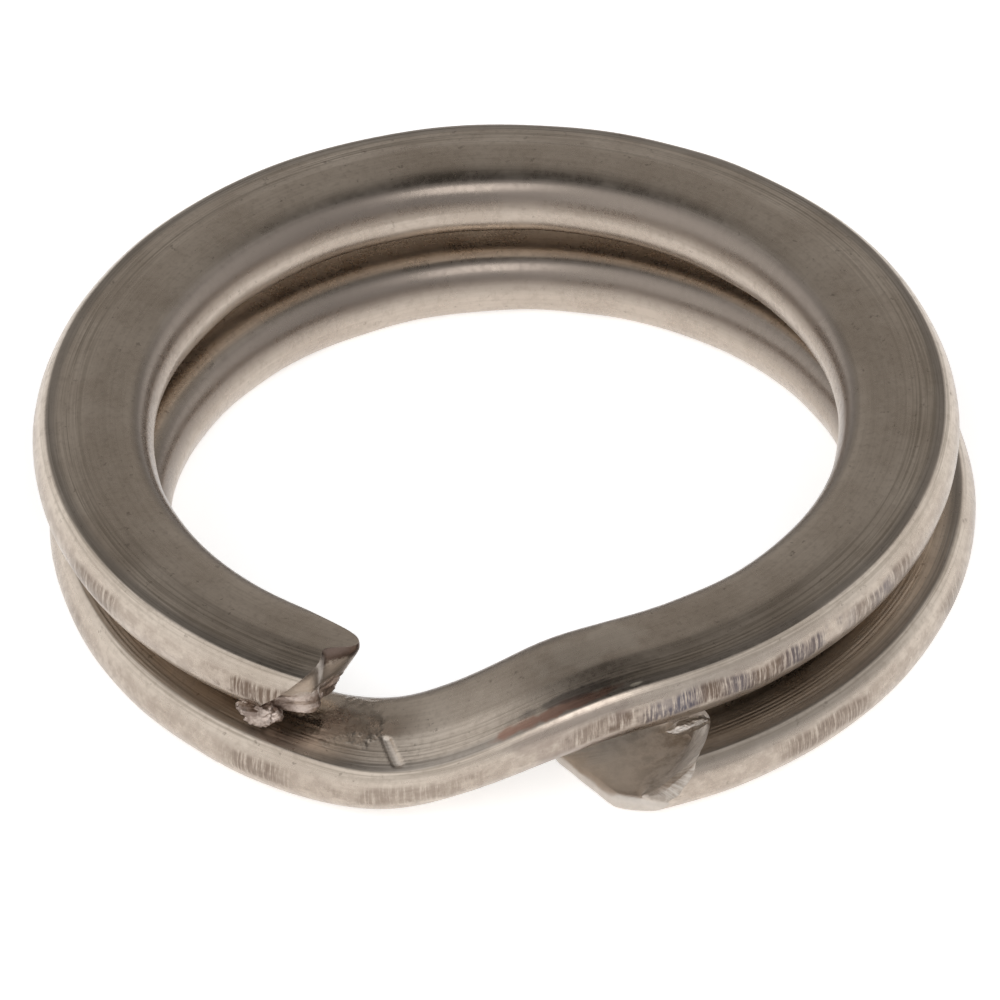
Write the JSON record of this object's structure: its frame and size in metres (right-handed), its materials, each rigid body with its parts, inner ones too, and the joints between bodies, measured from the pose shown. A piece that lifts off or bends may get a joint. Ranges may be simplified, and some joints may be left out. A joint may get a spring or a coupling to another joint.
{
  "type": "split key ring",
  "caption": "Small split ring of flattened steel wire wound nearly two turns, with a stepped crossover and sheared ends that pry apart to take a key, tag or charm.",
  "frame": {"origin": "centre of the ring's box at the height of the surface it lies on", "axes": "+Z along the ring's axis, away from the surface; -Y towards the crossover; +X to the right when the crossover is seen from the front"},
  "size_m": [0.0122, 0.0122, 0.002],
  "materials": {
    "steel_wire": "satin drawn and tumbled stainless spring wire"
  },
  "bodies": {
    "root_wire": {"crossover": "steel_wire", "upper_coil_front_right": "steel_wire", "upper_coil_back_right": "steel_wire", "lower_coil_left": "steel_wire", "lower_coil_back_left": "steel_wire"},
    "upper_back": {"upper_coil_back": "steel_wire"},
    "upper_back_left": {"upper_coil_back_left": "steel_wire"},
    "upper_left": {"upper_coil_left": "steel_wire"},
    "upper_tip": {"upper_coil_end": "steel_wire"},
    "lower_back": {"lower_coil_back": "steel_wire"},
    "lower_back_right": {"lower_coil_back_right": "steel_wire"},
    "lower_right": {"lower_coil_right": "steel_wire"},
    "lower_tip": {"lower_coil_end": "steel_wire"}
  },
  "joints": [
    {"name": "upper_end_lift", "type": "hinge", "parent": "root_wire", "child": "upper_back", "pos_m": [0.00195, 0.00486, 0.00203], "axis": [-0.9153, 0.4027, 0], "range_deg": [0, 2.67], "stiffness_Nm_per_rad": 5.91},
    {"name": "upper_back_flex", "type": "hinge", "parent": "upper_back", "child": "upper_back_left", "pos_m": [-0.00205, 0.0049, 0.00203], "axis": [-0.9998, 0.0218, 0], "range_deg": [0, 2.45], "stiffness_Nm_per_rad": 5.91},
    {"name": "upper_left_flex", "type": "hinge", "parent": "upper_back_left", "child": "upper_left", "pos_m": [-0.00489, 0.0021, 0.00203], "axis": [-0.932, -0.3624, 0], "range_deg": [0, 1.86], "stiffness_Nm_per_rad": 5.91},
    {"name": "upper_tip_flex", "type": "hinge", "parent": "upper_left", "child": "upper_tip", "pos_m": [-0.00493, -0.00189, 0.00203], "axis": [-0.7224, -0.6915, 0], "range_deg": [0, 0.99], "stiffness_Nm_per_rad": 5.91},
    {"name": "lower_end_drop", "type": "hinge", "parent": "root_wire", "child": "lower_back", "pos_m": [-0.00169, 0.00464, 0], "axis": [0.9511, 0.309, 0], "range_deg": [0, 2.55], "stiffness_Nm_per_rad": 6.18},
    {"name": "lower_back_flex", "type": "hinge", "parent": "lower_back", "child": "lower_back_right", "pos_m": [0.0023, 0.00447, 0], "axis": [0.9969, -0.0785, 0], "range_deg": [0, 2.39], "stiffness_Nm_per_rad": 6.18},
    {"name": "lower_right_flex", "type": "hinge", "parent": "lower_back_right", "child": "lower_right", "pos_m": [0.00499, 0.00153, 0], "axis": [0.891, -0.454, 0], "range_deg": [0, 1.87], "stiffness_Nm_per_rad": 6.18},
    {"name": "lower_tip_flex", "type": "hinge", "parent": "lower_right", "child": "lower_tip", "pos_m": [0.00482, -0.00246, 0], "axis": [0.6494, -0.7604, 0], "range_deg": [0, 1.06], "stiffness_Nm_per_rad": 6.18}
  ]
}
